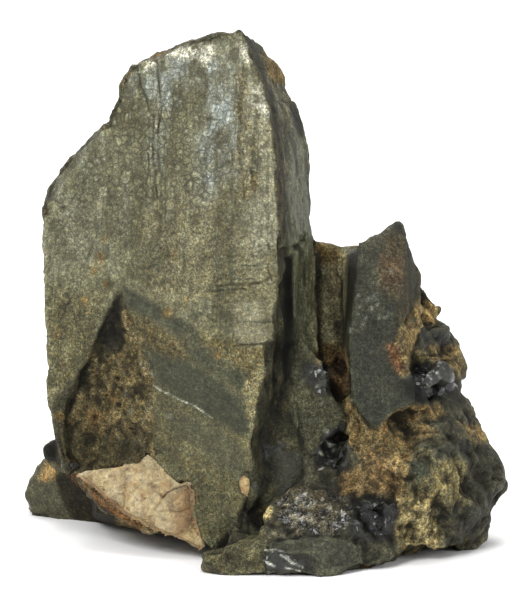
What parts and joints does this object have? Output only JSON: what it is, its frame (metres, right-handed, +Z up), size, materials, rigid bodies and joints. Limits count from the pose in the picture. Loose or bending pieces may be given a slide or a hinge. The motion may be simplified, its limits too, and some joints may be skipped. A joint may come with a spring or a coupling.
{
  "type": "samarskite mineral specimen",
  "caption": "Upright tabular mineral crystal grown with a smaller pointed crystal on a rough broken base, with cream feldspar fragments in its lower face; a display specimen.",
  "frame": {"origin": "a point in the middle of the flat resting face under the base mass", "axes": "+Z up along the tall crystal, -Y is the front that shows the broad crystal face, +X towards the smaller pointed crystal"},
  "size_m": [0.0537, 0.0358, 0.058],
  "materials": {
    "samarskite": "black to olive-grey metamict mineral: satin, finely striated and pitted crystal faces, glassy shell-like breaks, ochre weathering crust in the hollows",
    "feldspar": "cream cleavage faces with rust-brown stains and fine cracks",
    "feldspar_grain": "honey-yellow, slightly glossy grain"
  },
  "bodies": {
    "root": {"samarskite": "samarskite", "feldspar": "feldspar", "feldspar_grain": "feldspar_grain"}
  },
  "joints": []
}
